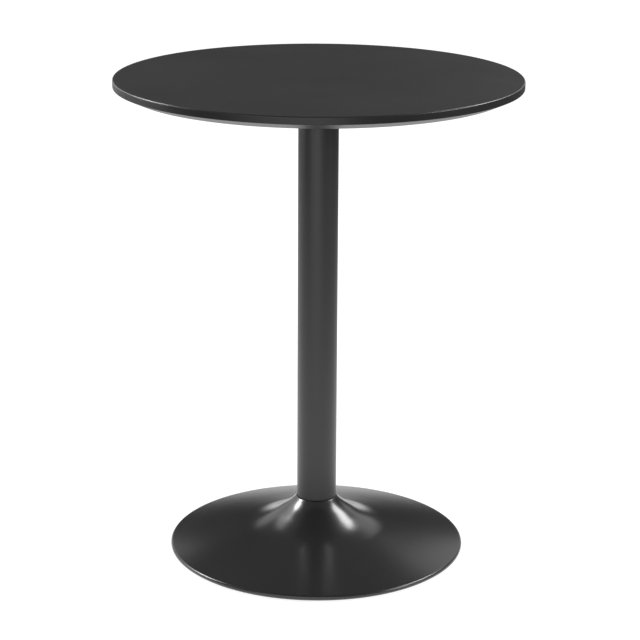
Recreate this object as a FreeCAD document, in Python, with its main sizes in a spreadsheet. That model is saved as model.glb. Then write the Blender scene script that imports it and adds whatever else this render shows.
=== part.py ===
"""Round pedestal dining table: lacquered top, steel column and spun trumpet base.

A tie rod through the column pulls the plate under the top, the column and the base
together. Millimetres, +Z up, origin on the floor under the middle of the column.
"""
import FreeCAD, Part
import math
import os
import Sketcher
from FreeCAD import Vector

ZERO = "0"

doc = FreeCAD.newDocument("dining_table")
sheet = doc.addObject("Spreadsheet::Sheet", "Sizes")

# Driving sizes: lengths in millimetres, counts, and shares of the span or leg they follow
driving = (
    ("table_height", "730"),
    # Top panel
    ("top_diameter", "600"),
    ("top_thickness", "20"),
    ("arris_radius", "2"),
    ("bevel_height", "9"),
    ("bevel_depth", "20"),
    # Plate under the top, its screws, washers and inserts
    ("plate_diameter", "220"),
    ("plate_thickness", "4"),
    ("plate_chamfer", "1"),
    ("plate_screw_count", "4"),
    ("plate_screw_margin", "20"),
    ("plate_screw_thread", "6"),
    ("plate_screw_length", "16"),
    ("plate_screw_head", "10.5"),
    ("plate_screw_head_height", "3.3"),
    ("plate_screw_head_round", "2"),
    ("plate_screw_key", "4"),
    ("plate_screw_key_depth", "2"),
    ("washer_diameter", "12"),
    ("washer_thickness", "1.6"),
    ("insert_diameter", "10"),
    ("insert_length", "13"),
    ("insert_room", "0.5"),
    # Column and what is in it
    ("column_diameter", "60"),
    ("column_wall", "1.5"),
    ("upper_plug_height", "20"),
    ("lower_plug_height", "15"),
    ("boss_diameter", "24"),
    ("boss_length", "22"),
    ("rod_diameter", "10"),
    ("rod_chamfer", "1"),
    ("rod_end_gap", "2"),
    ("rod_tail", "3"),
    # Spun base
    ("base_diameter", "450"),
    ("shell_wall", "1.5"),
    ("neck_height", "78.5"),
    ("neck_overhang", "0.8"),
    ("neck_bend", "0.5"),
    ("rim_bend", "1.5"),
    ("hem_bend", "1"),
    ("rim_room", "1"),
    ("throat_span_share", "0.05"),
    ("throat_rise_share", "0.855"),
    ("throat_tangent_share", "0.8"),
    ("flare_span_share", "0.27"),
    ("flare_rise_share", "0.43"),
    ("flare_tangent_share", "0.5"),
    ("crown_span_share", "0.8"),
    ("crown_rise_share", "0.13"),
    ("crown_tangent_share", "0.9"),
    ("gasket_thickness", "1.2"),
    ("gasket_setback", "0.5"),
    ("floor_ring_thickness", "1.5"),
    ("floor_ring_width", "9"),
    ("floor_ring_margin", "1"),
    # Inside the base
    ("base_plate_thickness", "2"),
    ("hub_diameter", "44"),
    ("hub_flange_width", "13"),
    ("hub_flange_thickness", "6"),
    ("spigot_diameter", "24"),
    ("spigot_length", "12"),
    ("recess_diameter", "34"),
    ("recess_depth", "24"),
    ("clamp_washer_diameter", "30"),
    ("clamp_washer_thickness", "2.5"),
    ("spring_washer_diameter", "18"),
    ("spring_washer_thickness", "2.2"),
    ("spring_washer_slit", "2"),
    ("nut_width", "17"),
    ("nut_height", "8"),
    ("ballast_margin", "95"),
    ("ballast_room", "12"),
    ("ballast_screw_count", "4"),
    ("ballast_screw_thread", "6"),
    ("ballast_screw_length", "10"),
    ("ballast_screw_head", "11"),
    ("ballast_screw_head_height", "2"),
    ("ballast_screw_head_round", "0.8"),
    ("ballast_screw_key", "4"),
    ("ballast_screw_key_depth", "1.2"),
    ("thread_room", "1"),
    # Gap all round between pieces that fit, and between a screw and the hole it passes
    ("fit_gap", "0.1"),
    ("pass_gap", "0.3"),
)

# Heights and radii that follow from them
derived = (
    ("top_radius", "=top_diameter / 2"),
    ("bevel_radius", "=top_radius - bevel_depth"),
    ("top_underside", "=table_height - top_thickness"),
    ("plate_underside", "=top_underside - plate_thickness"),
    ("plate_radius", "=plate_diameter / 2"),
    ("plate_screw_pitch", "=plate_radius - plate_screw_margin"),
    ("plate_screw_radius", "=plate_screw_thread / 2"),
    ("plate_screw_head_radius", "=plate_screw_head / 2"),
    ("plate_screw_reach", "=plate_screw_head_height + plate_screw_length"),
    ("plate_screw_hole", "=plate_screw_radius + pass_gap"),
    ("washer_radius", "=washer_diameter / 2"),
    ("washer_underside", "=plate_underside - washer_thickness"),
    ("plate_screw_bottom", "=washer_underside - plate_screw_head_height"),
    ("insert_radius", "=insert_diameter / 2"),
    ("insert_bore", "=plate_screw_radius + fit_gap"),
    ("insert_hole", "=insert_radius + fit_gap"),
    ("insert_depth", "=insert_length + insert_room"),
    ("column_radius", "=column_diameter / 2"),
    ("column_bore", "=column_radius - column_wall"),
    ("column_foot", "=neck_height + gasket_thickness"),
    ("column_length", "=plate_underside - column_foot"),
    ("plug_radius", "=column_bore - fit_gap"),
    ("upper_plug_foot", "=plate_underside - upper_plug_height"),
    ("boss_radius", "=boss_diameter / 2"),
    ("boss_foot", "=plate_underside - boss_length"),
    ("upper_plug_bore", "=boss_radius + fit_gap"),
    ("rod_radius", "=rod_diameter / 2"),
    ("rod_thread_bore", "=rod_radius + fit_gap"),
    ("rod_pass_bore", "=rod_radius + pass_gap"),
    ("spigot_radius", "=spigot_diameter / 2"),
    ("spigot_bore", "=spigot_radius + fit_gap"),
    ("gasket_radius", "=column_radius - gasket_setback"),
    ("base_radius", "=base_diameter / 2"),
    ("base_plate_foot", "=floor_ring_thickness + shell_wall"),
    ("base_plate_top", "=base_plate_foot + base_plate_thickness"),
    ("base_plate_radius", "=base_radius - shell_wall - hem_bend - fit_gap"),
    ("floor_ring_outer", "=base_radius - shell_wall - hem_bend - floor_ring_margin"),
    ("floor_ring_inner", "=floor_ring_outer - floor_ring_width"),
    ("hem_end", "=floor_ring_inner - floor_ring_margin"),
    ("recess_radius", "=recess_diameter / 2"),
    ("hub_radius", "=hub_diameter / 2"),
    ("hub_flange_radius", "=hub_radius + hub_flange_width"),
    ("hub_height", "=neck_height - shell_wall - base_plate_top"),
    ("hub_total", "=hub_height + shell_wall + gasket_thickness + spigot_length"),
    ("clamp_washer_radius", "=clamp_washer_diameter / 2"),
    ("clamp_washer_foot", "=base_plate_top + recess_depth - clamp_washer_thickness"),
    ("spring_washer_radius", "=spring_washer_diameter / 2"),
    ("spring_washer_foot", "=clamp_washer_foot - spring_washer_thickness"),
    ("nut_foot", "=spring_washer_foot - nut_height"),
    ("rod_foot", "=nut_foot - rod_tail"),
    ("rod_length", "=plate_underside - rod_end_gap - rod_foot"),
    # Outline of the base: land, throat, flare, dish, crown and rim, as straight legs with round corners
    ("rim_top", "=base_plate_top + rim_room + shell_wall"),
    ("flare_span", "=base_radius - column_radius"),
    ("flare_rise", "=neck_height - rim_top"),
    ("neck_across", "=column_radius + neck_overhang"),
    ("neck_up", "=neck_height"),
    ("throat_across", "=column_radius + throat_span_share * flare_span"),
    ("throat_up", "=rim_top + throat_rise_share * flare_rise"),
    ("flare_across", "=column_radius + flare_span_share * flare_span"),
    ("flare_up", "=rim_top + flare_rise_share * flare_rise"),
    ("crown_across", "=column_radius + crown_span_share * flare_span"),
    ("crown_up", "=rim_top + crown_rise_share * flare_rise"),
    ("rim_across", "=base_radius"),
    ("rim_up", "=rim_top"),
    ("hem_across", "=base_radius"),
    ("hem_up", "=floor_ring_thickness"),
    ("throat_angle", "=atan((neck_up - throat_up) / (throat_across - neck_across))"),
    ("flare_angle", "=atan((throat_up - flare_up) / (flare_across - throat_across))"),
    ("dish_angle", "=atan((flare_up - crown_up) / (crown_across - flare_across))"),
    ("crown_angle", "=atan((crown_up - rim_up) / (rim_across - crown_across))"),
    ("throat_tangent", "=throat_tangent_share * (throat_across - neck_across) / cos(throat_angle)"),
    ("flare_tangent", "=flare_tangent_share * (flare_across - throat_across) / cos(flare_angle)"),
    ("crown_tangent", "=crown_tangent_share * (rim_across - crown_across) / cos(crown_angle)"),
    ("neck_round", "=neck_bend + shell_wall"),
    ("throat_round", "=throat_tangent / tan((throat_angle - flare_angle) / 2)"),
    ("flare_round", "=flare_tangent / tan((flare_angle - dish_angle) / 2)"),
    ("crown_round", "=crown_tangent / tan((crown_angle - dish_angle) / 2)"),
    ("rim_round", "=rim_bend + shell_wall"),
    ("hem_round", "=hem_bend + shell_wall"),
    ("inner_neck_round", "=neck_round - shell_wall"),
    ("inner_throat_round", "=throat_round + shell_wall"),
    ("inner_flare_round", "=flare_round + shell_wall"),
    ("inner_crown_round", "=crown_round - shell_wall"),
    ("inner_rim_round", "=rim_round - shell_wall"),
    ("inner_hem_round", "=hem_round - shell_wall"),
    ("inner_land_up", "=neck_up - shell_wall"),
    # Ballast: its top runs under the straight dish, so it clears the flare and the crown
    ("ballast_inner", "=hub_flange_radius + pass_gap"),
    ("ballast_outer", "=base_radius - ballast_margin"),
    ("ballast_roof", "=crown_up - shell_wall / cos(dish_angle) - ballast_room - base_plate_top"),
    ("ballast_inner_height", "=ballast_roof + (crown_across - ballast_inner) * tan(dish_angle)"),
    ("ballast_outer_height", "=ballast_roof + (crown_across - ballast_outer) * tan(dish_angle)"),
    ("ballast_screw_pitch", "=(ballast_inner + ballast_outer) / 2"),
    ("ballast_screw_radius", "=ballast_screw_thread / 2"),
    ("ballast_screw_head_radius", "=ballast_screw_head / 2"),
    ("ballast_screw_reach", "=ballast_screw_head_height + ballast_screw_length"),
    ("ballast_screw_hole", "=ballast_screw_radius + pass_gap"),
    ("ballast_screw_bottom", "=base_plate_foot - ballast_screw_head_height"),
    ("ballast_thread_bore", "=ballast_screw_radius + fit_gap"),
    ("ballast_thread_depth", "=ballast_screw_length - base_plate_thickness + thread_room"),
)


def inner_corner(name, before, after):
    """Cells for a corner of the base's inside: the outer one, moved in by the wall along its bisector."""
    middle = "(%s + %s) / 2" % (before, after)
    shift = "shell_wall / cos((%s - %s) / 2)" % (after, before)
    return (
        ("inner_%s_across" % name, "=%s_across - %s * sin(%s)" % (name, shift, middle)),
        ("inner_%s_up" % name, "=%s_up - %s * cos(%s)" % (name, shift, middle)),
    )


inside = (
    inner_corner("neck", "0 deg", "throat_angle")
    + inner_corner("throat", "throat_angle", "flare_angle")
    + inner_corner("flare", "flare_angle", "dish_angle")
    + inner_corner("crown", "dish_angle", "crown_angle")
    + inner_corner("rim", "crown_angle", "90 deg")
    + inner_corner("hem", "90 deg", "180 deg")
)

for row, (alias, text) in enumerate(driving + derived + inside, start=1):
    sheet.set("A%d" % row, alias)
    sheet.set("B%d" % row, text)
    sheet.setAlias("B%d" % row, alias)
doc.recompute()


def bind(feature, prop, alias):
    """Tie one property of a feature to a cell of the sheet."""
    feature.setExpression(prop, "Sizes." + alias)


def size(alias):
    """The number that a cell holds now; a sketch is first drawn with it, and then bound to the cell."""
    return float(sheet.evalExpression(alias))


def origin(body, role):
    """A plane or axis of the body's own origin."""
    return [feature for feature in body.Origin.OriginFeatures if feature.Role == role][0]


def new_body(label, foot=ZERO):
    """An empty body whose own floor lies at the given height of the table."""
    body = doc.addObject("PartDesign::Body", label)
    body.Label = label
    if foot != ZERO:
        bind(body, "Placement.Base.z", foot)
    return body


def new_sketch(body, name, role):
    """An empty sketch on one of the body's own planes."""
    sketch = body.newObject("Sketcher::SketchObject", name)
    sketch.AttachmentSupport = [(origin(body, role), "")]
    sketch.MapMode = "FlatFace"
    return sketch


def place(sketch, geometry, vertex, across, up):
    """Dimension a point of a sketch from its origin; a zero puts the point on the axis."""
    for kind, axis, alias in (("DistanceX", -2, across), ("DistanceY", -1, up)):
        if alias == ZERO:
            sketch.addConstraint(Sketcher.Constraint("PointOnObject", geometry, vertex, axis))
        else:
            rule = Sketcher.Constraint(kind, -1, 1, geometry, vertex, size(alias))
            bind(sketch, "Constraints[%d]" % sketch.addConstraint(rule), alias)


def measure(sketch, kind, geometry, alias):
    """Dimension a radius or diameter of a sketch."""
    rule = Sketcher.Constraint(kind, geometry, size(alias))
    bind(sketch, "Constraints[%d]" % sketch.addConstraint(rule), alias)


def outline(sketch, corners):
    """A closed line round the corners (across, up) or (across, up, radius of the rounding)."""
    marks = [Vector(size(corner[0]), size(corner[1]), 0) for corner in corners]
    arrive, leave, crest = [], [], []
    for index, (corner, here) in enumerate(zip(corners, marks)):
        back = (marks[index - 1] - here).normalize()
        ahead = (marks[(index + 1) % len(marks)] - here).normalize()
        radius = size(corner[2]) if len(corner) > 2 else 0
        half = back.getAngle(ahead) / 2
        arrive.append(here + back * (radius / math.tan(half)))
        leave.append(here + ahead * (radius / math.tan(half)))
        crest.append(here + (back + ahead).normalize() * (radius / math.sin(half) - radius))
    ends = arrive[1:] + arrive[:1]
    legs = [sketch.addGeometry(Part.LineSegment(start, end)) for start, end in zip(leave, ends)]
    for index, corner in enumerate(corners):
        before, after = legs[index - 1], legs[index]
        if len(corner) == 2:
            sketch.addConstraint(Sketcher.Constraint("Coincident", before, 2, after, 1))
            place(sketch, after, 1, *corner)
            continue
        arc = sketch.addGeometry(Part.Arc(arrive[index], crest[index], leave[index]))
        first = sketch.getPoint(arc, 1)
        entry = 1 if first.distanceToPoint(arrive[index]) < first.distanceToPoint(leave[index]) else 2
        sharp = sketch.addGeometry(Part.Point(marks[index]), True)
        sketch.addConstraint(Sketcher.Constraint("Tangent", before, 2, arc, entry))
        sketch.addConstraint(Sketcher.Constraint("Tangent", arc, 3 - entry, after, 1))
        sketch.addConstraint(Sketcher.Constraint("PointOnObject", sharp, 1, before))
        sketch.addConstraint(Sketcher.Constraint("PointOnObject", sharp, 1, after))
        place(sketch, sharp, 1, corner[0], corner[1])
        measure(sketch, "Radius", arc, corner[2])


def circle(sketch, radius, across=ZERO):
    """A circle with its centre on the sketch's own X axis."""
    round_line = Part.Circle(Vector(size(across), 0, 0), Vector(0, 0, 1), size(radius))
    geometry = sketch.addGeometry(round_line)
    place(sketch, geometry, 3, across, ZERO)
    measure(sketch, "Radius", geometry, radius)


def hexagon(sketch, width, across=ZERO):
    """A hexagon of the given width over its flats, round a guide circle that its sides touch."""
    middle = Vector(size(across), 0, 0)
    guide = sketch.addGeometry(Part.Circle(middle, Vector(0, 0, 1), size(width) / 2), True)
    place(sketch, guide, 3, across, ZERO)
    measure(sketch, "Diameter", guide, width)
    reach = size(width) / 2 / math.cos(math.pi / 6)
    turns = [math.pi / 3 * step for step in range(7)]
    points = [middle + Vector(math.cos(turn), math.sin(turn), 0) * reach for turn in turns]
    sides = [sketch.addGeometry(Part.LineSegment(*pair)) for pair in zip(points, points[1:])]
    for index, side in enumerate(sides):
        sketch.addConstraint(Sketcher.Constraint("Coincident", sides[index - 1], 2, side, 1))
        sketch.addConstraint(Sketcher.Constraint("Tangent", side, guide))
        if index:
            sketch.addConstraint(Sketcher.Constraint("Equal", sides[0], side))
    sketch.addConstraint(Sketcher.Constraint("PointOnObject", sides[0], 1, -1))


def turn(body, corners):
    """Spin an outline, drawn as (distance from the axis, height), once round the body's axis."""
    sketch = new_sketch(body, body.Label + "_profile", "XZ_Plane")
    outline(sketch, corners)
    spin = body.newObject("PartDesign::Revolution", body.Label + "_turned")
    spin.Profile = sketch
    spin.ReferenceAxis = (sketch, ["V_Axis"])
    doc.recompute()


def pad(body, sketch, length):
    """Raise a sketch from the body's floor."""
    raised = body.newObject("PartDesign::Pad", sketch.Name + "_pad")
    raised.Profile = sketch
    bind(raised, "Length", length)
    doc.recompute()
    return raised


def pocket(body, sketch, depth):
    """Cut a sketch upwards from the body's floor, and make sure that it took something away."""
    before = body.Shape.Volume
    hollow = body.newObject("PartDesign::Pocket", sketch.Name + "_pocket")
    hollow.Profile = sketch
    hollow.Reversed = True
    bind(hollow, "Length", depth)
    doc.recompute()
    if body.Shape.Volume >= before:
        raise RuntimeError(sketch.Name + " cuts nothing")
    return hollow


def spread(body, features, count):
    """Repeat features round the body's axis."""
    ring = body.newObject("PartDesign::PolarPattern", body.Label + "_ring")
    ring.Originals = features
    ring.Axis = (origin(body, "Z_Axis"), [""])
    ring.Angle = 360
    bind(ring, "Occurrences", count)
    body.Tip = ring
    doc.recompute()


def holes(body, radius, pitch, depth, count):
    """A ring of round holes, cut upwards from the body's floor."""
    sketch = new_sketch(body, body.Label + "_holes", "XY_Plane")
    circle(sketch, radius, pitch)
    spread(body, [pocket(body, sketch, depth)], count)


def soften(body, kind, prop, alias, radius, height):
    """Round or chamfer the circular edges that have one radius and lie at one height of the body."""
    base = body.Tip
    names = []
    for number, edge in enumerate(base.Shape.Edges, start=1):
        curve = edge.Curve
        if isinstance(curve, Part.Circle) and abs(curve.Radius - size(radius)) < size("fit_gap"):
            if abs(curve.Center.z - size(height)) < size("fit_gap"):
                names.append("Edge%d" % number)
    feature = body.newObject("PartDesign::" + kind, "%s_%s" % (body.Label, kind.lower()))
    feature.Base = (base, names)
    bind(feature, prop, alias)
    doc.recompute()


def ring(label, foot, length, outer, inner, pitch=ZERO):
    """A ring, a tube or a disc with a hole: two circles, padded upwards from its foot."""
    body = new_body(label, foot)
    sketch = new_sketch(body, label + "_plan", "XY_Plane")
    circle(sketch, outer, pitch)
    circle(sketch, inner, pitch)
    pad(body, sketch, length)
    return body


def rings(label, foot, length, outer, inner, pitch, count):
    """A group of like rings, spread round the axis."""
    body = ring(label, foot, length, outer, inner, pitch)
    spread(body, [body.Tip], count)
    return body


def screws(kind):
    """A group of socket screws with their heads down; their cells' names start with the kind."""
    body = new_body(kind + "s", kind + "_bottom")
    pitch = kind + "_pitch"
    head = new_sketch(body, kind + "_head_plan", "XY_Plane")
    circle(head, kind + "_head_radius", pitch)
    shank = new_sketch(body, kind + "_shank_plan", "XY_Plane")
    circle(shank, kind + "_radius", pitch)
    key = new_sketch(body, kind + "_key_plan", "XY_Plane")
    hexagon(key, kind + "_key", pitch)
    features = [
        pad(body, head, kind + "_head_height"),
        pad(body, shank, kind + "_reach"),
        pocket(body, key, kind + "_key_depth"),
    ]
    spread(body, features, kind + "_count")
    soften(body, "Fillet", "Radius", kind + "_head_round", kind + "_head_radius", ZERO)
    return body


# Top: MDF disc with an eased upper arris and a bevel under its edge, drilled for the inserts
table_top = new_body("table_top", "top_underside")
turn(table_top, (
    (ZERO, ZERO),
    ("bevel_radius", ZERO),
    ("top_radius", "bevel_height"),
    ("top_radius", "top_thickness", "arris_radius"),
    (ZERO, "top_thickness"),
))
holes(table_top, "insert_hole", "plate_screw_pitch", "insert_depth", "plate_screw_count")

threaded_inserts = rings(
    "threaded_inserts", "top_underside", "insert_length", "insert_radius", "insert_bore",
    "plate_screw_pitch", "plate_screw_count",
)

# Plate under the top: steel disc on the head of the column
mounting_plate = new_body("mounting_plate", "plate_underside")
plate_plan = new_sketch(mounting_plate, "mounting_plate_plan", "XY_Plane")
circle(plate_plan, "plate_radius")
pad(mounting_plate, plate_plan, "plate_thickness")
holes(mounting_plate, "plate_screw_hole", "plate_screw_pitch", "plate_thickness", "plate_screw_count")
soften(mounting_plate, "Chamfer", "Size", "plate_chamfer", "plate_radius", ZERO)

plate_washers = rings(
    "plate_washers", "washer_underside", "washer_thickness", "washer_radius", "plate_screw_hole",
    "plate_screw_pitch", "plate_screw_count",
)
plate_screws = screws("plate_screw")

# Column: tube with a plug in each end, round the threaded boss above and the hub's spigot below
column_tube = ring("column_tube", "column_foot", "column_length", "column_radius", "column_bore")
upper_plug = ring("upper_plug", "upper_plug_foot", "upper_plug_height", "plug_radius", "upper_plug_bore")
lower_plug = ring("lower_plug", "column_foot", "lower_plug_height", "plug_radius", "spigot_bore")
plate_boss = ring("plate_boss", "boss_foot", "boss_length", "boss_radius", "rod_thread_bore")

# Tie rod: runs from the boss under the plate down to the nut in the hub
tie_rod = new_body("tie_rod", "rod_foot")
rod_plan = new_sketch(tie_rod, "tie_rod_plan", "XY_Plane")
circle(rod_plan, "rod_radius")
pad(tie_rod, rod_plan, "rod_length")
soften(tie_rod, "Chamfer", "Size", "rod_chamfer", "rod_radius", ZERO)

# Base shell: spun sheet with a flat land under the column, and a rim rolled in below
neck_gasket = ring("neck_gasket", "neck_height", "gasket_thickness", "gasket_radius", "spigot_bore")
base_shell = new_body("base_shell")
turn(base_shell, (
    ("spigot_bore", "neck_up"),
    ("neck_across", "neck_up", "neck_round"),
    ("throat_across", "throat_up", "throat_round"),
    ("flare_across", "flare_up", "flare_round"),
    ("crown_across", "crown_up", "crown_round"),
    ("rim_across", "rim_up", "rim_round"),
    ("hem_across", "hem_up", "hem_round"),
    ("hem_end", "hem_up"),
    ("hem_end", "base_plate_foot"),
    ("inner_hem_across", "inner_hem_up", "inner_hem_round"),
    ("inner_rim_across", "inner_rim_up", "inner_rim_round"),
    ("inner_crown_across", "inner_crown_up", "inner_crown_round"),
    ("inner_flare_across", "inner_flare_up", "inner_flare_round"),
    ("inner_throat_across", "inner_throat_up", "inner_throat_round"),
    ("inner_neck_across", "inner_neck_up", "inner_neck_round"),
    ("spigot_bore", "inner_land_up"),
))
floor_ring = ring("floor_ring", ZERO, "floor_ring_thickness", "floor_ring_outer", "floor_ring_inner")

# Base plate: disc inside the rolled rim, open in the middle for the wrench
base_plate = ring(
    "base_plate", "base_plate_foot", "base_plate_thickness", "base_plate_radius", "recess_radius",
)
holes(
    base_plate, "ballast_screw_hole", "ballast_screw_pitch", "base_plate_thickness",
    "ballast_screw_count",
)

# Hub: post under the land, with a spigot for the column above and a recess for the nut below
base_hub = new_body("base_hub", "base_plate_top")
turn(base_hub, (
    ("recess_radius", ZERO),
    ("hub_flange_radius", ZERO),
    ("hub_flange_radius", "hub_flange_thickness"),
    ("hub_radius", "hub_flange_thickness"),
    ("hub_radius", "hub_height"),
    ("spigot_radius", "hub_height"),
    ("spigot_radius", "hub_total"),
    ("rod_pass_bore", "hub_total"),
    ("rod_pass_bore", "recess_depth"),
    ("recess_radius", "recess_depth"),
))

# Clamp on the rod's foot: large washer, split spring washer and nut
clamp_washer = ring(
    "clamp_washer", "clamp_washer_foot", "clamp_washer_thickness", "clamp_washer_radius",
    "rod_pass_bore",
)
spring_washer = ring(
    "spring_washer", "spring_washer_foot", "spring_washer_thickness", "spring_washer_radius",
    "rod_pass_bore",
)
slit_plan = new_sketch(spring_washer, "spring_washer_slit_plan", "XY_Plane")
outline(slit_plan, (
    (ZERO, ZERO),
    ("spring_washer_diameter", ZERO),
    ("spring_washer_diameter", "spring_washer_slit"),
    (ZERO, "spring_washer_slit"),
))
pocket(spring_washer, slit_plan, "spring_washer_thickness")
clamp_nut = new_body("clamp_nut", "nut_foot")
nut_plan = new_sketch(clamp_nut, "clamp_nut_plan", "XY_Plane")
hexagon(nut_plan, "nut_width")
circle(nut_plan, "rod_thread_bore")
pad(clamp_nut, nut_plan, "nut_height")

# Ballast: cast ring on the base plate, round the hub's flange
ballast_ring = new_body("ballast_ring", "base_plate_top")
turn(ballast_ring, (
    ("ballast_inner", ZERO),
    ("ballast_outer", ZERO),
    ("ballast_outer", "ballast_outer_height"),
    ("ballast_inner", "ballast_inner_height"),
))
holes(
    ballast_ring, "ballast_thread_bore", "ballast_screw_pitch", "ballast_thread_depth",
    "ballast_screw_count",
)
ballast_screws = screws("ballast_screw")

pieces = [
    table_top, threaded_inserts, mounting_plate, plate_washers, plate_screws,
    column_tube, upper_plug, lower_plug, plate_boss, tie_rod,
    neck_gasket, base_shell, floor_ring, base_plate, base_hub,
    clamp_washer, spring_washer, clamp_nut, ballast_ring, ballast_screws,
]

doc.recompute()
for item in doc.Objects:
    if "Invalid" in item.State or "Error" in item.State:
        raise RuntimeError("failed: " + item.Name)
for piece in pieces:
    if piece.Shape.isNull() or not piece.Shape.isValid():
        raise RuntimeError("bad solid: " + piece.Label)

os.makedirs("parts", exist_ok=True)
for piece in pieces:
    piece.Shape.exportStep("parts/%s.step" % piece.Label)
    box = piece.Shape.optimalBoundingBox(False)
    print(piece.Label, len(piece.Shape.Solids), "solids", round(piece.Shape.Volume), "mm3",
          round(box.ZMin, 2), "to", round(box.ZMax, 2))
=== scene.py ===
"""Looks of a round pedestal dining table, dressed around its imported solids. Metres, +Z up."""
import bpy
import math
from mathutils import Matrix, Vector


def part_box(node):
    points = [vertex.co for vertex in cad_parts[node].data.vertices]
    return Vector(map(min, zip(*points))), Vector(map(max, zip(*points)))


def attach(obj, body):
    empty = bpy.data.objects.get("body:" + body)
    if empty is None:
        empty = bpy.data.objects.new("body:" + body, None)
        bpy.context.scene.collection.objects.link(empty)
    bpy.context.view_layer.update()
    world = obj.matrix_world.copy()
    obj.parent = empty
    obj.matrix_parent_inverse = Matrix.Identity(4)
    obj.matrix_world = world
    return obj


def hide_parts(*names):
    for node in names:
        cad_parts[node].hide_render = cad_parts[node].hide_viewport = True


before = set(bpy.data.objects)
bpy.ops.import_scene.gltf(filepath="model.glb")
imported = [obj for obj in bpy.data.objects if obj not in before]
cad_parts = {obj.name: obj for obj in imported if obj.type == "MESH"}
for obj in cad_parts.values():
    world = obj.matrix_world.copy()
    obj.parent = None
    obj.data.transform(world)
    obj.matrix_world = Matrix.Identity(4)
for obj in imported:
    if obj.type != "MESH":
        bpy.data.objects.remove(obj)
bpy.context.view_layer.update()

# Floor ring
# Moulded black rubber ring, glued under the rolled rim of the base. The whole table stands
# on it, and only a dark line of it shows between the rim and the floor.

ARC_TURN = math.radians(9)
ARC_SPAN = 0.003
FENCE = 0.0006
LONG_LEG = 0.0024
SHARP = math.radians(35)


def rounded(corners):
    """Points round an outline of (radius, height, rounding) corners, with an arc for each rounding."""
    points = []
    for index, (across, up, rounding) in enumerate(corners):
        here = Vector((across, up))
        if rounding == 0:
            points.append(here)
            continue
        back = (Vector(corners[index - 1][:2]) - here).normalized()
        ahead = (Vector(corners[(index + 1) % len(corners)][:2]) - here).normalized()
        half = back.angle(ahead) / 2
        turn = math.copysign(math.pi - 2 * half, -back.cross(ahead))
        centre = here + (back + ahead).normalized() * (rounding / math.sin(half))
        spoke = here + back * (rounding / math.tan(half)) - centre
        steps = math.ceil(max(abs(turn) / ARC_TURN, abs(turn) * rounding / ARC_SPAN))
        for step in range(steps + 1):
            points.append(centre + Matrix.Rotation(turn * step / steps, 2) @ spoke)
    return points


def fenced(points):
    """The same outline with a point close to each end of its long legs, so that they shade flat."""
    kept = []
    for here, ahead in zip(points, points[1:] + points[:1]):
        kept.append(here)
        leg = ahead - here
        if leg.length > LONG_LEG and (here.x or ahead.x):
            kept.append(here + leg.normalized() * FENCE)
            kept.append(ahead - leg.normalized() * FENCE)
    return kept


def lathe(name, outline, steps):
    """An object turned round Z. The outline lists (radius, height), or works it out for an angle."""
    angles = [2 * math.pi * step / steps for step in range(steps)]
    turned = [outline(angle) if callable(outline) else outline for angle in angles]
    vertices, rows = [], []
    for place, (across, up) in enumerate(turned[0]):
        first = len(vertices)
        if across == 0:
            vertices.append((0, 0, up))
            rows.append([first] * steps)
            continue
        for angle, points in zip(angles, turned):
            radius, height = points[place]
            vertices.append((radius * math.cos(angle), radius * math.sin(angle), height))
        rows.append(list(range(first, first + steps)))
    on_axis = turned[0][0][0] == 0
    faces = []
    for low, high in zip(rows, rows[1:] if on_axis else rows[1:] + rows[:1]):
        for step in range(steps):
            ahead = (step + 1) % steps
            corners = (low[step], low[ahead], high[ahead], high[step])
            faces.append(list(dict.fromkeys(corners)))
    mesh = bpy.data.meshes.new(name)
    mesh.from_pydata(vertices, [], faces)
    mesh.shade_smooth()
    mesh.set_sharp_from_angle(angle=SHARP)
    piece = bpy.data.objects.new(name, mesh)
    bpy.context.scene.collection.objects.link(piece)
    return piece


def ring_outline(inner, outer, low, high, rounding):
    """Outline of a plain ring with all four corners eased."""
    corners = ((inner, low), (outer, low), (outer, high), (inner, high))
    return fenced(rounded([(across, up, rounding) for across, up in corners]))


def wire(tree, kind, sockets, **settings):
    """Add a node; each socket gets a value, or a link where it is given another node's output."""
    made = tree.nodes.new(kind)
    for name, value in settings.items():
        setattr(made, name, value)
    for name, value in sockets.items():
        if isinstance(value, bpy.types.NodeSocket):
            tree.links.new(value, made.inputs[name])
        else:
            made.inputs[name].default_value = value
    return made


def new_group(name, kind, inputs, outputs):
    """An empty node group with named sockets; returns its tree and the node that holds its inputs."""
    tree = bpy.data.node_groups.new(name, kind)
    for socket, socket_kind in inputs.items():
        tree.interface.new_socket(socket, in_out="INPUT", socket_type=socket_kind)
    for socket, socket_kind in outputs.items():
        tree.interface.new_socket(socket, in_out="OUTPUT", socket_type=socket_kind)
    return tree, tree.nodes.new("NodeGroupInput")


PATTERN_INPUTS = {
    "Coordinates": "NodeSocketVector", "Grain Size": "NodeSocketFloat", "Drift Size": "NodeSocketFloat",
}
PATTERN_OUTPUTS = {"Height": "NodeSocketFloat", "Drift": "NodeSocketFloat"}


def cloudy(tree, coordinates, size, detail):
    """A noise of the given size, from coordinates in metres; its value runs from 0 to 1."""
    scale = wire(tree, "ShaderNodeMath", {0: 1.0, 1: size}, operation="DIVIDE")
    noise = wire(tree, "ShaderNodeTexNoise", {
        "Vector": coordinates, "Scale": scale.outputs[0], "Detail": detail,
    })
    return noise.outputs["Fac"]


GRAIN_DETAIL, DRIFT_DETAIL = 2.0, 4.0
grain_tree, grain_in = new_group("surface_grain", "ShaderNodeTree", PATTERN_INPUTS, PATTERN_OUTPUTS)
grain_place = grain_in.outputs["Coordinates"]
wire(grain_tree, "NodeGroupOutput", {
    "Height": cloudy(grain_tree, grain_place, grain_in.outputs["Grain Size"], GRAIN_DETAIL),
    "Drift": cloudy(grain_tree, grain_place, grain_in.outputs["Drift Size"], DRIFT_DETAIL),
})

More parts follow.
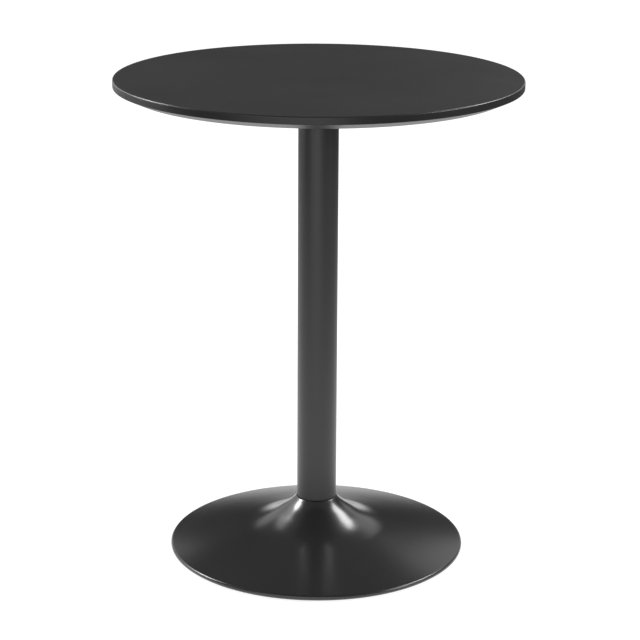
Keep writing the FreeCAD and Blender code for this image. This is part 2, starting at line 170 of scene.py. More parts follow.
# Places of the two colours, and of the mixed colour, among the Mix node's sockets
MIX_FIRST, MIX_SECOND, MIX_RESULT = 6, 7, 2


def new_finish(name, pattern, colours, roughness, grain, drift, relief, metal=0.0):
    """A finish whose colour and roughness drift over the surface, with the pattern's grain in relief."""
    material = bpy.data.materials.new(name)
    material.use_nodes = True
    tree = material.node_tree
    shader = tree.nodes["Principled BSDF"]
    place = wire(tree, "ShaderNodeTexCoord", {})
    surface = wire(tree, "ShaderNodeGroup", {}, node_tree=pattern)
    tree.links.new(place.outputs["Object"], surface.inputs["Coordinates"])
    surface.inputs["Grain Size"].default_value = grain
    surface.inputs["Drift Size"].default_value = drift
    colour = wire(tree, "ShaderNodeMix", {
        "Factor": surface.outputs["Drift"], MIX_FIRST: (*colours[0], 1.0), MIX_SECOND: (*colours[1], 1.0),
    }, data_type="RGBA")
    gloss = wire(tree, "ShaderNodeMapRange", {
        "Value": surface.outputs["Drift"], "To Min": roughness[0], "To Max": roughness[1],
    })
    bump = wire(tree, "ShaderNodeBump", {"Height": surface.outputs["Height"], "Distance": relief})
    tree.links.new(colour.outputs[MIX_RESULT], shader.inputs["Base Color"])
    tree.links.new(gloss.outputs["Result"], shader.inputs["Roughness"])
    tree.links.new(bump.outputs["Normal"], shader.inputs["Normal"])
    shader.inputs["Metallic"].default_value = metal
    return material


def seat(piece, node, finish):
    """Give a piece its finish and let it stand for its CAD node."""
    piece.data.materials.clear()
    piece.data.materials.append(finish)
    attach(piece, "root")
    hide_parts(node)


LARGE_TURN = 256
ring_low, ring_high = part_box("floor_ring")
ring_width = 0.009
ring_eased = 0.0004
rubber = new_finish(
    "moulded_rubber", grain_tree, ((0.016, 0.016, 0.016), (0.024, 0.024, 0.023)), (0.62, 0.8),
    grain=0.0006, drift=0.1, relief=0.00003,
)
floor_ring = lathe("rubber_floor_ring", ring_outline(
    ring_high.x - ring_width, ring_high.x, ring_low.z, ring_high.z, ring_eased,
), LARGE_TURN)
seat(floor_ring, "floor_ring", rubber)

# Base shell
# Trumpet spun from one disc of sheet steel: a flat land under the column, a flare, a shallow
# dish and a rim that is rolled in below. Satin-gloss black powder coat.

shell_wall = 0.0015
shell_low, shell_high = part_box("base_shell")
column_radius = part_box("column_tube")[1].x
spigot_bore = 0.0121
rim_radius = shell_high.x
rim_height = 0.006
rim_up = shell_low.z + rim_height
neck_overhang = 0.0008
neck_at = Vector((column_radius + neck_overhang, shell_high.z))


def shell_corner(span_share, rise_share):
    """A corner of the base's outline, as shares of the way out to the rim and up to the neck."""
    across = column_radius + span_share * (rim_radius - column_radius)
    return Vector((across, rim_up + rise_share * (shell_high.z - rim_up)))


throat_span, throat_rise, throat_bend = 0.05, 0.855, 0.8
flare_span, flare_rise, flare_bend = 0.27, 0.43, 0.5
crown_span, crown_rise, crown_bend = 0.8, 0.13, 0.9
throat_at = shell_corner(throat_span, throat_rise)
flare_at = shell_corner(flare_span, flare_rise)
crown_at = shell_corner(crown_span, crown_rise)
rim_at = shell_corner(1.0, 0.0)


def tangent_round(before, here, after, tangent):
    """Rounding of a corner whose arc starts at the given length from it."""
    half = (before - here).angle(after - here) / 2
    return tangent * math.tan(half)


throat_round = tangent_round(neck_at, throat_at, flare_at, throat_bend * (throat_at - neck_at).length)
flare_round = tangent_round(throat_at, flare_at, crown_at, flare_bend * (flare_at - throat_at).length)
crown_round = tangent_round(flare_at, crown_at, rim_at, crown_bend * (rim_at - crown_at).length)
hem_gap = 0.001
hem_end = ring_high.x - ring_width - hem_gap
neck_round, rim_round, hem_round = 0.002, 0.003, 0.0025
outer_skin = rounded([
    (hem_end, shell_low.z, 0),
    (rim_radius, shell_low.z, hem_round),
    (*rim_at, rim_round),
    (*crown_at, crown_round),
    (*flare_at, flare_round),
    (*throat_at, throat_round),
    (*neck_at, neck_round),
    (spigot_bore, shell_high.z, 0),
])


def inner_skin(points, wall):
    """The other face of a sheet: each point moved in by the wall, square to the line there."""
    moved = []
    for index, here in enumerate(points):
        before = points[max(index - 1, 0)]
        after = points[min(index + 1, len(points) - 1)]
        along = (after - before).normalized()
        moved.append(here + Vector((-along.y, along.x)) * wall)
    return moved


COAT_IOR = 1.6
base_coat = new_finish(
    "base_powder_coat", grain_tree, ((0.0126, 0.0126, 0.0128), (0.0166, 0.0166, 0.0169)), (0.2, 0.25),
    grain=0.0016, drift=0.11, relief=0.000004,
)
base_coat.node_tree.nodes["Principled BSDF"].inputs["IOR"].default_value = COAT_IOR
shell = fenced(outer_skin + inner_skin(outer_skin, shell_wall)[::-1])
base_shell = lathe("spun_base_shell", shell, LARGE_TURN)
seat(base_shell, "base_shell", base_coat)

# Base plate
# Disc cut from sheet steel that the rolled rim holds inside the base. It is open in the middle
# for the wrench, is drilled for the ballast's screws, and has a plain black powder coat.

SMALL_TURN = 48
GROUP_COUNT = 4

circle_tree, circle_in = new_group("circle_of_pieces", "GeometryNodeTree", {
    "Piece": "NodeSocketObject", "Count": "NodeSocketInt", "Pitch Radius": "NodeSocketFloat",
    "Finish": "NodeSocketMaterial",
}, {"Geometry": "NodeSocketGeometry"})
circle_tree.is_modifier = True
circle_points = wire(circle_tree, "GeometryNodeMeshCircle", {
    "Vertices": circle_in.outputs["Count"], "Radius": circle_in.outputs["Pitch Radius"],
})
circle_piece = wire(circle_tree, "GeometryNodeObjectInfo", {"Object": circle_in.outputs["Piece"]})
circle_index = wire(circle_tree, "GeometryNodeInputIndex", {})
circle_step = wire(circle_tree, "ShaderNodeMath", {
    0: 2 * math.pi, 1: circle_in.outputs["Count"],
}, operation="DIVIDE")
circle_turn = wire(circle_tree, "ShaderNodeMath", {
    0: circle_index.outputs["Index"], 1: circle_step.outputs[0],
}, operation="MULTIPLY")
circle_spin = wire(circle_tree, "ShaderNodeCombineXYZ", {"Z": circle_turn.outputs[0]})
circle_set = wire(circle_tree, "GeometryNodeInstanceOnPoints", {
    "Points": circle_points.outputs["Mesh"], "Instance": circle_piece.outputs["Geometry"],
    "Rotation": circle_spin.outputs["Vector"],
})
circle_real = wire(circle_tree, "GeometryNodeRealizeInstances", {
    "Geometry": circle_set.outputs["Instances"],
})
circle_dressed = wire(circle_tree, "GeometryNodeSetMaterial", {
    "Geometry": circle_real.outputs["Geometry"], "Material": circle_in.outputs["Finish"],
})
wire(circle_tree, "NodeGroupOutput", {"Geometry": circle_dressed.outputs["Geometry"]})


def finished_mesh(piece):
    """A plain mesh of what a piece's modifiers make of it."""
    graph = bpy.context.evaluated_depsgraph_get()
    return bpy.data.meshes.new_from_object(piece.evaluated_get(graph))


def in_circle(name, piece, pitch, finish):
    """One object with copies of a piece round Z, the first of them on +X; the single piece is removed."""
    group = bpy.data.objects.new(name, bpy.data.meshes.new(name))
    bpy.context.scene.collection.objects.link(group)
    layout = group.modifiers.new("layout", "NODES")
    layout.node_group = circle_tree
    values = {"Piece": piece, "Count": GROUP_COUNT, "Pitch Radius": pitch, "Finish": finish}
    for socket in circle_tree.interface.items_tree:
        if socket.name in values:
            layout[socket.identifier] = values[socket.name]
    mesh = finished_mesh(group)
    group.modifiers.remove(layout)
    group.data = mesh
    bpy.data.objects.remove(piece)
    return group


def cut_away(piece, cutter):
    """Take a cutter's shape out of a piece."""
    cut = piece.modifiers.new("cut", "BOOLEAN")
    cut.object = cutter
    cut.operation = "DIFFERENCE"
    cut.solver = "EXACT"
    mesh = finished_mesh(piece)
    piece.modifiers.remove(cut)
    piece.data = mesh
    mesh.set_sharp_from_angle(angle=SHARP)
    bpy.data.objects.remove(cutter)


def drill(piece, radius, low, high, pitch, finish):
    """Drill a circle of holes into a piece, between two heights."""
    bit = lathe("drill", [(0, low), (radius, low), (radius, high), (0, high)], SMALL_TURN)
    cut_away(piece, in_circle("drills", bit, pitch, finish))


floor_plate_low, floor_plate_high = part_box("base_plate")
recess_radius = 0.017
sheet_eased = 0.0003
low_head_radius = 0.0055
low_screw_low, low_screw_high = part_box("ballast_screws")
low_screw_pitch = low_screw_high.x - low_head_radius
pass_hole = 0.0033
plate_coat = new_finish(
    "plate_powder_coat", grain_tree, ((0.017, 0.017, 0.0173), (0.023, 0.023, 0.0234)), (0.42, 0.52),
    grain=0.0014, drift=0.09, relief=0.00001,
)
base_plate = lathe("base_closing_plate", ring_outline(
    recess_radius, floor_plate_high.x, floor_plate_low.z, floor_plate_high.z, sheet_eased,
), LARGE_TURN)
drill(
    base_plate, pass_hole, floor_plate_low.z - FENCE, floor_plate_high.z + FENCE,
    low_screw_pitch, plate_coat,
)
seat(base_plate, "base_plate", plate_coat)

# Ballast ring
# Cast iron ring that lies on the base plate and keeps the table from tipping. Its top falls
# with the dish above it; the skin is as cast, with soft corners, and dipped in black.

ballast_low, ballast_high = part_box("ballast_ring")
ballast_inner = 0.0353
ballast_outer = ballast_high.x
dish_fall = (flare_at.y - crown_at.y) / (crown_at.x - flare_at.x)
ballast_shoulder = ballast_high.z - (ballast_outer - ballast_inner) * dish_fall
cast_round, cast_foot = 0.002, 0.0008
thread_bore, thread_depth = 0.0031, 0.009
cast_skin = new_finish(
    "dipped_cast_iron", grain_tree, ((0.09, 0.09, 0.092), (0.14, 0.139, 0.142)), (0.6, 0.78),
    grain=0.0018, drift=0.02, relief=0.0003,
)
ballast_ring = lathe("cast_ballast_ring", fenced(rounded([
    (ballast_inner, ballast_low.z, cast_foot),
    (ballast_outer, ballast_low.z, cast_foot),
    (ballast_outer, ballast_shoulder, cast_round),
    (ballast_inner, ballast_high.z, cast_round),
])), LARGE_TURN)
drill(
    ballast_ring, thread_bore, ballast_low.z - FENCE, ballast_low.z + thread_depth,
    low_screw_pitch, cast_skin,
)
seat(ballast_ring, "ballast_ring", cast_skin)

# Ballast screws
# Low head socket screws, M6, driven from below through the base plate into the ballast.
# Cold formed steel with rolled threads, zinc plated.

THREAD_ROWS = 8
HEX_SIDE = math.radians(60)
FINE_PITCH = 0.001
FINE_DEPTH = 0.0006
FORMED_EASED = 0.00015
KEY_DRILL_SHARE = 0.45
KEY_POINT_SHARE = 0.125


def hex_reach(angle, width):
    """How far a hexagon of the given width over flats reaches at an angle; a corner lies at zero."""
    return width / 2 / math.cos(angle % HEX_SIDE - HEX_SIDE / 2)


def thread_rows(angle, radius, depth, pitch, low, high):
    """Points up a threaded shank at one angle; the thread fades out over its first and last turn."""
    count = round((high - low) / pitch * THREAD_ROWS)
    points = []
    for step in range(count + 1):
        up = low + (high - low) * step / count
        phase = (up / pitch - angle / (2 * math.pi)) % 1
        ridge = 1 - abs(2 * phase - 1)
        full = min(1, (up - low) / pitch, (high - up) / pitch)
        points.append((radius - depth * (1 - ridge * full), up))
    return points


def socket_screw(name, head, head_height, head_round, key, key_depth, shank, low, high):
    """A socket screw with its head down, from the floor of its socket to its tip."""
    mouth = hex_reach(0, key) + FORMED_EASED
    drill_radius = key * KEY_DRILL_SHARE
    drill_point = key_depth + key * KEY_POINT_SHARE
    seat_up = low + head_height
    head_side = rounded([
        (0, low, 0), (head, low, head_round), (head, seat_up, FORMED_EASED), (0, seat_up, 0),
    ])
    head_points = [tuple(point) for point in head_side[1:-1]]

    def outline(angle):
        side = hex_reach(angle, key)
        socket = [
            (0, low + drill_point), (drill_radius, low + key_depth), (side, low + key_depth),
            (side, low + mouth - side), (mouth, low), (head - head_round - FENCE, low),
        ]
        neck = [(shank + FENCE, seat_up), (shank - FINE_DEPTH, seat_up)]
        thread = thread_rows(angle, shank, FINE_DEPTH, FINE_PITCH, seat_up + FENCE, high - FENCE)
        return socket + head_points + neck + thread + [(shank - 2 * FINE_DEPTH, high), (0, high)]

    return lathe(name, outline, SMALL_TURN)


screw_shank = 0.003
low_head_height, low_head_round = 0.002, 0.0008
low_key, low_key_depth = 0.004, 0.0012
zinc = new_finish(
    "zinc_plate", grain_tree, ((0.56, 0.57, 0.6), (0.68, 0.68, 0.67)), (0.24, 0.38),
    grain=0.0004, drift=0.004, relief=0.000006, metal=1.0,
)
ballast_screws = in_circle("ballast_low_head_screws", socket_screw(
    "low_head_screw", low_head_radius, low_head_height, low_head_round, low_key, low_key_depth,
    screw_shank, low_screw_low.z, low_screw_high.z,
), low_screw_pitch, zinc)
seat(ballast_screws, "ballast_screws", zinc)

# Base hub
# Post turned from one steel bar: a flange on the base plate, a stem up to the land of the
# shell, a spigot that centres the column, and a recess below for the clamp nut.

LINE_DETAIL, BAND_DETAIL = 1.0, 3.0
turning_tree, turning_in = new_group("turning_lines", "ShaderNodeTree", PATTERN_INPUTS, PATTERN_OUTPUTS)
turning_place = turning_in.outputs["Coordinates"]
turning_flat = wire(turning_tree, "ShaderNodeVectorMath", {
    0: turning_place, 1: (1.0, 1.0, 0.0),
}, operation="MULTIPLY")
turning_radius = wire(turning_tree, "ShaderNodeVectorMath", {
    0: turning_flat.outputs[0],
}, operation="LENGTH")
turning_height = wire(turning_tree, "ShaderNodeSeparateXYZ", {0: turning_place})
turning_line = wire(turning_tree, "ShaderNodeCombineXYZ", {
    "X": turning_radius.outputs["Value"], "Y": turning_height.outputs["Z"],
})
wire(turning_tree, "NodeGroupOutput", {
    "Height": cloudy(turning_tree, turning_line.outputs[0], turning_in.outputs["Grain Size"], LINE_DETAIL),
    "Drift": cloudy(turning_tree, turning_line.outputs[0], turning_in.outputs["Drift Size"], BAND_DETAIL),
})

BAR_TURN = 128
hub_low, hub_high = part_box("base_hub")
hub_flange = hub_high.x
hub_stem = 0.022
flange_thick, recess_depth = 0.006, 0.024
hub_flange_up = hub_low.z + flange_thick
hub_shoulder = shell_high.z - shell_wall
spigot_radius = 0.012
rod_pass = 0.0053
recess_up = hub_low.z + recess_depth
bar_eased, spigot_eased, flange_fillet = 0.0005, 0.001, 0.0015
turned_steel = new_finish(
    "turned_steel", turning_tree, ((0.42, 0.42, 0.43), (0.56, 0.56, 0.565)), (0.24, 0.4),
    grain=0.0003, drift=0.0012, relief=0.000012, metal=1.0,
)
base_hub = lathe("turned_base_hub", fenced(rounded([
    (recess_radius, hub_low.z, bar_eased),
    (hub_flange, hub_low.z, bar_eased),
    (hub_flange, hub_flange_up, bar_eased),
    (hub_stem, hub_flange_up, flange_fillet),
    (hub_stem, hub_shoulder, bar_eased),
    (spigot_radius, hub_shoulder, 0),
    (spigot_radius, hub_high.z, spigot_eased),
    (rod_pass, hub_high.z, bar_eased),
    (rod_pass, recess_up, bar_eased),
    (recess_radius, recess_up, bar_eased),
])), BAR_TURN)
seat(base_hub, "base_hub", turned_steel)

# Neck gasket
# Thin rubber washer between the base's land and the column's foot. It is set back a little,
# so it shows as the fine dark line round the neck.

gasket_low, gasket_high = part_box("neck_gasket")
gasket_eased = 0.0003
neck_gasket = lathe("neck_gasket_ring", ring_outline(
    spigot_bore, gasket_high.x, gasket_low.z, gasket_high.z, gasket_eased,
), LARGE_TURN)
seat(neck_gasket, "neck_gasket", rubber)

# Column
# Straight round steel tube, sawn square, with its ends deburred. Satin black powder coat,
# baked on before the column is put on the base.

tube_low, tube_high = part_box("column_tube")
tube_wall = 0.0015
tube_eased = 0.0004
column_coat = new_finish(
    "column_powder_coat", grain_tree, ((0.019, 0.019, 0.0193), (0.025, 0.025, 0.0253)), (0.33, 0.39),
    grain=0.0014, drift=0.11, relief=0.000006,
)
column_coat.node_tree.nodes["Principled BSDF"].inputs["IOR"].default_value = COAT_IOR
column_tube = lathe("column_pipe", ring_outline(
    column_radius - tube_wall, column_radius, tube_low.z, tube_high.z, tube_eased,
), LARGE_TURN)
seat(column_tube, "column_tube", column_coat)

# Column plugs
# Turned steel plugs, pressed and welded into the two ends of the tube. The lower one slips over
# the hub's spigot, and the upper one round the boss under the plate.

plug_bore = 0.0121
plug_eased = 0.0006
for node, name in (("lower_plug", "column_lower_plug"), ("upper_plug", "column_upper_plug")):
    plug_low, plug_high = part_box(node)
    plug = lathe(name, ring_outline(
        plug_bore, plug_high.x, plug_low.z, plug_high.z, plug_eased,
    ), BAR_TURN)
    seat(plug, node, turned_steel)

# Mounting plate
# Round steel plate on the head of the column that carries the top. Its lower edge is
# chamfered, it is drilled for four screws, and it has the base plate's powder coat.

carrier_low, carrier_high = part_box("mounting_plate")
carrier_radius = carrier_high.x
carrier_chamfer = 0.001
button_head_radius = 0.00525
button_low, button_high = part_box("plate_screws")
button_pitch = button_high.x - button_head_radius
mounting_plate = lathe("top_mounting_plate", fenced(rounded([
    (0, carrier_low.z, 0),
    (carrier_radius - carrier_chamfer, carrier_low.z, sheet_eased),
    (carrier_radius, carrier_low.z + carrier_chamfer, sheet_eased),
    (carrier_radius, carrier_high.z, sheet_eased),
    (0, carrier_high.z, 0),
])), LARGE_TURN)
drill(
    mounting_plate, pass_hole, carrier_low.z - FENCE, carrier_high.z + FENCE, button_pitch, plate_coat,
)
seat(mounting_plate, "mounting_plate", plate_coat)

# Plate boss
# Round steel bush, welded under the middle of the plate and tapped M10. It sits in the upper
# plug, and the tie rod is screwed up into it.

BOSS_TURN = 64
boss_low, boss_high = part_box("plate_boss")
rod_bore = 0.0051
boss_eased = 0.0008
plate_boss = lathe("tapped_plate_boss", ring_outline(
    rod_bore, boss_high.x, boss_low.z, boss_high.z, boss_eased,
), BOSS_TURN)
seat(plate_boss, "plate_boss", turned_steel)

# Tie rod
# Bright drawn steel rod, M10, with a rolled thread at each end. It runs from the boss down
# through the whole column and pulls plate, column and base together.

ROD_PITCH = 0.0015
ROD_DEPTH = 0.0009
rod_low, rod_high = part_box("tie_rod")
rod_radius = rod_high.x
rod_chamfer = 0.001
rod_runout = 0.003
lower_thread, upper_thread = 0.033, 0.03


def rod_outline(angle):
    """The rod from its foot to its head, with a thread at both ends, at one angle."""
    foot = rod_low.z + rod_chamfer
    head = rod_high.z - rod_chamfer
    lower = thread_rows(angle, rod_radius, ROD_DEPTH, ROD_PITCH, foot, foot + lower_thread)
    upper = thread_rows(angle, rod_radius, ROD_DEPTH, ROD_PITCH, head - upper_thread, head)
    shank_foot, shank_head = foot + lower_thread + rod_runout, head - upper_thread - rod_runout
    shank = [(rod_radius, shank_foot), (rod_radius, shank_head)]
    end = rod_radius - ROD_DEPTH - rod_chamfer
    below = [(0, rod_low.z), (end, rod_low.z)]
    above = [(end, rod_high.z), (0, rod_high.z)]
    return below + lower + shank + upper + above


tie_rod = lathe("threaded_tie_rod", rod_outline, SMALL_TURN)
seat(tie_rod, "tie_rod", zinc)

# Clamp on the rod
# Large flat washer, split spring washer and hexagon nut on the rod's foot, in the hub's recess.
# The nut is reached with a socket wrench from below. Steel, zinc plated.

stamped_eased = 0.0003
washer_low, washer_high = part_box("clamp_washer")
clamp_washer = lathe("clamp_flat_washer", ring_outline(
    rod_pass, washer_high.x, washer_low.z, washer_high.z, stamped_eased,
), BAR_TURN)
seat(clamp_washer, "clamp_washer", zinc)

spring_low, spring_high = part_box("spring_washer")
spring_slit = 0.002
spring_radius = -spring_low.x
spring_washer = lathe("clamp_spring_washer", ring_outline(
    rod_pass, spring_radius, spring_low.z, spring_high.z, stamped_eased,
), BOSS_TURN)
saw_mesh = bpy.data.meshes.new("saw")
saw_plan = ((0, 0), (2 * spring_radius, 0), (2 * spring_radius, spring_slit), (0, spring_slit))
saw_heights = (spring_low.z - FENCE, spring_high.z + FENCE)
saw_mesh.from_pydata(
    [(*point, up) for up in saw_heights for point in saw_plan], [],
    [(3, 2, 1, 0), (4, 5, 6, 7), (0, 1, 5, 4), (1, 2, 6, 5), (2, 3, 7, 6), (3, 0, 4, 7)],
)
saw = bpy.data.objects.new("saw", saw_mesh)
bpy.context.scene.collection.objects.link(saw)
cut_away(spring_washer, saw)
seat(spring_washer, "spring_washer", zinc)

nut_low, nut_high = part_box("clamp_nut")
NUT_TURN = 192
NUT_FACE_SHARE = 0.96
nut_width = 0.017
nut_face = nut_width / 2 * NUT_FACE_SHARE
nut_slope = math.tan(math.radians(30))
nut_mouth = 0.0006


def nut_outline(angle):
    """The nut from its bore outwards at one angle; a cone trims its corners at both faces."""
    side = hex_reach(angle, nut_width)
    trim = (side - nut_face) * nut_slope
    return [
        (rod_bore, nut_low.z + nut_mouth), (rod_bore + nut_mouth, nut_low.z), (nut_face, nut_low.z),
        (side, nut_low.z + trim), (side, nut_high.z - trim),
        (nut_face, nut_high.z), (rod_bore + nut_mouth, nut_high.z), (rod_bore, nut_high.z - nut_mouth),
    ]


clamp_nut = lathe("clamp_hexagon_nut", nut_outline, NUT_TURN)
seat(clamp_nut, "clamp_nut", zinc)

# Table top
# Round panel of MDF, shaped on a router: eased arris above, vertical edge, and a shallow
# bevel underneath that makes it look thinner. Black lacquer, rubbed matt on the upper face.

top_low, top_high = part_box("table_top")
top_radius = top_high.x
top_arris = 0.002
bevel_height = 0.009
bevel_depth = 0.02
edge_eased = 0.0008
insert_hole, insert_depth = 0.0051, 0.0135
EDGE_ROUGHNESS = 0.33
rubbed_fade = 0.00025
lacquer = new_finish(
    "matt_lacquer", grain_tree, ((0.0135, 0.0135, 0.0138), (0.019, 0.019, 0.0193)), (0.48, 0.56),
    grain=0.0022, drift=0.11, relief=0.000012,
)
lacquer_tree = lacquer.node_tree
lacquer_gloss = lacquer_tree.nodes["Principled BSDF"].inputs["Roughness"]
lacquer_place = wire(lacquer_tree, "ShaderNodeTexCoord", {})
lacquer_height = wire(lacquer_tree, "ShaderNodeSeparateXYZ", {0: lacquer_place.outputs["Object"]})
rubbed_gloss = wire(lacquer_tree, "ShaderNodeMapRange", {
    "Value": lacquer_height.outputs["Z"], "From Min": top_high.z - rubbed_fade, "From Max": top_high.z,
    "To Min": EDGE_ROUGHNESS, "To Max": lacquer_gloss.links[0].from_socket,
})
lacquer_tree.links.new(rubbed_gloss.outputs["Result"], lacquer_gloss)
table_top = lathe("lacquered_top", fenced(rounded([
    (0, top_low.z, 0),
    (top_radius - bevel_depth, top_low.z, edge_eased),
    (top_radius, top_low.z + bevel_height, edge_eased),
    (top_radius, top_high.z, top_arris),
    (0, top_high.z, 0),
])), LARGE_TURN)
drill(table_top, insert_hole, top_low.z - FENCE, top_low.z + insert_depth, button_pitch, lacquer)
seat(table_top, "table_top", lacquer)

# Threaded inserts
# Brass bushes with a coarse wood thread outside and M6 inside, screwed into the underside of
# the top, one for each plate screw.

COARSE_PITCH = 0.002
COARSE_DEPTH = 0.0007
insert_low, insert_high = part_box("threaded_inserts")
insert_radius = insert_high.x - button_pitch
insert_mouth = 0.0004
brass = new_finish(
    "turned_brass", grain_tree, ((0.66, 0.5, 0.24), (0.76, 0.6, 0.31)), (0.22, 0.36),
    grain=0.0005, drift=0.005, relief=0.000006, metal=1.0,
)


def insert_outline(angle):
    """An insert from its bore outwards at one angle, with the wood thread on its outside."""
    face = insert_radius - COARSE_DEPTH - insert_mouth
    foot, head = insert_low.z + insert_mouth, insert_high.z - insert_mouth
    wood_thread = thread_rows(angle, insert_radius, COARSE_DEPTH, COARSE_PITCH, foot, head)
    below = [(thread_bore, foot), (thread_bore + insert_mouth, insert_low.z), (face, insert_low.z)]
    above = [(face, insert_high.z), (thread_bore + insert_mouth, insert_high.z), (thread_bore, head)]
    return below + wood_thread + above


insert = lathe("brass_insert", insert_outline, SMALL_TURN)
threaded_inserts = in_circle("brass_threaded_inserts", insert, button_pitch, brass)
seat(threaded_inserts, "threaded_inserts", brass)

# Plate washers
# Stamped flat washers, one between each plate screw's head and the plate. Steel, zinc plated,
# with the punch's slight rounding on their edges.

disc_low, disc_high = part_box("plate_washers")
disc = lathe("flat_washer", ring_outline(
    pass_hole, disc_high.x - button_pitch, disc_low.z, disc_high.z, stamped_eased,
), SMALL_TURN)
plate_washers = in_circle("plate_flat_washers", disc, button_pitch, zinc)
seat(plate_washers, "plate_washers", zinc)

# Plate screws
# Button head socket screws, M6, driven from below through washer and plate into the inserts.
# Cold formed steel with rolled threads, zinc plated.

button_height, button_round = 0.0033, 0.002
button_key, button_key_depth = 0.004, 0.002
plate_screws = in_circle("plate_button_head_screws", socket_screw(
    "button_head_screw", button_head_radius, button_height, button_round, button_key, button_key_depth,
    screw_shank, button_low.z, button_high.z,
), button_pitch, zinc)
seat(plate_screws, "plate_screws", zinc)

# Floor
# Plain pale floor without an end in sight. Its own glow takes it to white for the eye. In reflections it also
# glows, as a painted reflection: a bright strip across X that fades further from the table, with darker floor
# mirrored beyond its sides.
# The light that it throws back still shows the table's shadow.

FLOOR_REACH = 40.0
FLOOR_SINK = 0.0002
FLOOR_PALE = 0.25
FLOOR_GLOW_NEAR, FLOOR_GLOW_FAR = 0.85, 1.0
FLOOR_NEAR, FLOOR_FAR = 0.4, 1.4
# Painted reflection: glow seen only in reflections, stronger near the table than far off.
FLOOR_PAINTED_REFLECTION_NEAR, FLOOR_PAINTED_REFLECTION_FAR = 1.0, 0.5
# Painted reflection: X range of the bright floor strip that only reflections see.
PAINTED_STRIP_LEFT = (-1.8, -1.1)
PAINTED_STRIP_RIGHT = (1.4, 0.8)
floor_mesh = bpy.data.meshes.new("studio_floor")
floor_corners = ((-1, -1), (1, -1), (1, 1), (-1, 1))
floor_mesh.from_pydata(
    [(FLOOR_REACH * x, FLOOR_REACH * y, -FLOOR_SINK) for x, y in floor_corners], [], [(0, 1, 2, 3)],
)
floor = bpy.data.objects.new("studio_floor", floor_mesh)
bpy.context.scene.collection.objects.link(floor)
floor_finish = bpy.data.materials.new("pale_floor")
floor_finish.use_nodes = True
floor_tree = floor_finish.node_tree
floor_tree.nodes.clear()


def combine(tree, operation, first, second):
    """One value worked out from two."""
    return wire(tree, "ShaderNodeMath", {0: first, 1: second}, operation=operation).outputs[0]


def ease(tree, value, start, end, low=0.0, high=1.0):
    """A value that goes smoothly from low to high while another goes from start to end."""
    return wire(tree, "ShaderNodeMapRange", {
        "Value": value, "From Min": start, "From Max": end, "To Min": low, "To Max": high,
    }, interpolation_type="SMOOTHSTEP").outputs["Result"]


floor_path = wire(floor_tree, "ShaderNodeLightPath", {})
floor_place = wire(floor_tree, "ShaderNodeTexCoord", {})
floor_parts = wire(floor_tree, "ShaderNodeSeparateXYZ", {0: floor_place.outputs["Object"]})
floor_away = wire(floor_tree, "ShaderNodeVectorMath", {
    0: floor_place.outputs["Object"],
}, operation="LENGTH")
# Painted reflection: mask of the bright floor strip, used only for glossy and transmission rays.
painted_reflection_strip = combine(
    floor_tree, "MULTIPLY",
    ease(floor_tree, floor_parts.outputs["X"], *PAINTED_STRIP_LEFT),
    ease(floor_tree, floor_parts.outputs["X"], *PAINTED_STRIP_RIGHT),
)
mirrored = combine(
    floor_tree, "MAXIMUM", floor_path.outputs["Is Glossy Ray"], floor_path.outputs["Is Transmission Ray"],
)
floor_seen = combine(floor_tree, "MULTIPLY", floor_path.outputs["Is Camera Ray"], ease(
    floor_tree, floor_away.outputs["Value"], FLOOR_NEAR, FLOOR_FAR, FLOOR_GLOW_NEAR, FLOOR_GLOW_FAR,
))
# Painted reflection: glow for glossy and transmission rays only, inside the strip and brighter near the
# table.
floor_painted_reflection = combine(floor_tree, "MULTIPLY", combine(floor_tree, "MULTIPLY", mirrored, painted_reflection_strip), ease(
    floor_tree, floor_away.outputs["Value"], FLOOR_NEAR, FLOOR_FAR, FLOOR_PAINTED_REFLECTION_NEAR, FLOOR_PAINTED_REFLECTION_FAR,
))
floor_level = combine(floor_tree, "ADD", floor_seen, floor_painted_reflection)
floor_glow = wire(floor_tree, "ShaderNodeEmission", {"Strength": floor_level})
floor_matt = wire(floor_tree, "ShaderNodeBsdfDiffuse", {
    "Color": (FLOOR_PALE, FLOOR_PALE, FLOOR_PALE, 1.0),
})
floor_above = wire(floor_tree, "ShaderNodeAddShader", {
    0: floor_glow.outputs[0], 1: floor_matt.outputs[0],
})
floor_below = wire(floor_tree, "ShaderNodeBsdfTransparent", {})
floor_side = wire(floor_tree, "ShaderNodeNewGeometry", {})
floor_both = wire(floor_tree, "ShaderNodeMixShader", {
    0: floor_side.outputs["Backfacing"], 1: floor_above.outputs[0], 2: floor_below.outputs[0],
})
wire(floor_tree, "ShaderNodeOutputMaterial", {"Surface": floor_both.outputs[0]})
floor_mesh.materials.append(floor_finish)

# Light
# Two softboxes high at the sides, dimmer panels at the sides and in the rear corners, and a dim
# one in front. The room is white to the eye, but the table stands in its dim light, which is
# darkest behind the table and lighter in front and above.

LIGHT_AIM = Vector((0, 0, 0.1))
LIGHT_REACH = 3.2
ROOM_FRONT = 0.28
ROOM_BEHIND = 0.03
ROOM_AXIS = (0.0, -0.6, 0.8)
ROOM_SPAN = (-0.5, 1.0)


def softbox(name, azimuth, elevation, width, height, radiance):
    """A lamp that faces the table. Degrees, from straight behind to the right; radiance is its brightness."""
    turn, lift = math.radians(azimuth), math.radians(elevation)
    ahead = Vector((math.sin(turn) * math.cos(lift), math.cos(turn) * math.cos(lift), math.sin(lift)))
    lamp = bpy.data.lights.new(name, "AREA")
    lamp.shape = "RECTANGLE"
    lamp.size = 2 * LIGHT_REACH * math.tan(math.radians(width / 2)) * math.cos(lift)
    lamp.size_y = 2 * LIGHT_REACH * math.tan(math.radians(height / 2))
    lamp.energy = radiance * math.pi * lamp.size * lamp.size_y
    box = bpy.data.objects.new(name, lamp)
    box.location = LIGHT_AIM + LIGHT_REACH * ahead
    box.rotation_euler = (-ahead).to_track_quat("-Z", "Y").to_euler()
    bpy.context.scene.collection.objects.link(box)


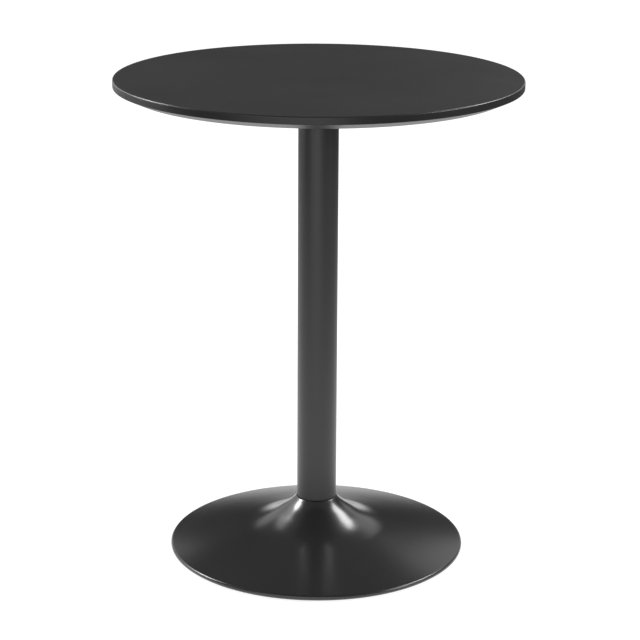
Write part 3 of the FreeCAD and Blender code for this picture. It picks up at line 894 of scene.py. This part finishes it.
softbox("left_softbox", -70, 37, 20, 16, 26.0)
softbox("left_low_panel", -79, 15, 30, 10, 6.0)
softbox("left_rear_panel", -50, 32, 20, 36, 1.9)
softbox("left_corner", -30, 15, 20, 26, 0.9)
softbox("left_horizon", -60, 4, 60, 8, 0.5)
softbox("right_softbox", 62, 45, 36, 14, 14.5)
softbox("right_corner", 29, 25, 22, 26, 0.92)
softbox("right_front_panel", 110, 27, 20, 18, 10.5)
softbox("front_panel", -165, 15, 60, 24, 1.6)
softbox("far_strip", 0, 0, 70, 3, 0.16)

room = bpy.data.worlds.new("studio_room")
bpy.context.scene.world = room
room.use_nodes = True
room_tree = room.node_tree
room_tree.nodes.clear()
room_place = wire(room_tree, "ShaderNodeTexCoord", {})
room_lean = wire(room_tree, "ShaderNodeVectorMath", {
    0: room_place.outputs["Generated"], 1: ROOM_AXIS,
}, operation="DOT_PRODUCT")
room_level = wire(room_tree, "ShaderNodeMapRange", {
    "Value": room_lean.outputs["Value"], "From Min": ROOM_SPAN[0], "From Max": ROOM_SPAN[1],
    "To Min": ROOM_BEHIND, "To Max": ROOM_FRONT,
})
room_path = wire(room_tree, "ShaderNodeLightPath", {})
room_white = combine(
    room_tree, "MAXIMUM", room_path.outputs["Is Camera Ray"], room_path.outputs["Is Transmission Ray"],
)
room_seen = combine(room_tree, "MAXIMUM", room_white, room_level.outputs["Result"])
room_light = wire(room_tree, "ShaderNodeBackground", {"Color": (1.0, 1.0, 1.0, 1.0), "Strength": room_seen})
wire(room_tree, "ShaderNodeOutputWorld", {"Surface": room_light.outputs[0]})

# Camera
# Stands in front of the table at about a standing person's chest height, with a long lens,
# and looks down a little.

EYE = (-0.0032, -3.0333, 1.2727)
LOOK_DOWN = 0.2923
LOOK_ASIDE = 0.0023
LEAN = 0.006
PHOTO_SIDE = 640
FOCAL_PIXELS = 2101.6
lens = bpy.data.cameras.new("photo_camera")
lens.sensor_fit = "HORIZONTAL"
lens.lens = lens.sensor_width * FOCAL_PIXELS / PHOTO_SIDE
camera = bpy.data.objects.new("photo_camera", lens)
turned_aside = Matrix.Rotation(-LOOK_ASIDE, 4, "Z")
tipped = Matrix.Rotation(math.pi / 2 - LOOK_DOWN, 4, "X")
leaned = Matrix.Rotation(LEAN, 4, "Z")
camera.matrix_world = Matrix.Translation(EYE) @ turned_aside @ tipped @ leaned
bpy.context.scene.collection.objects.link(camera)
bpy.context.scene.camera = camera
bpy.context.scene.view_settings.view_transform = "Standard"
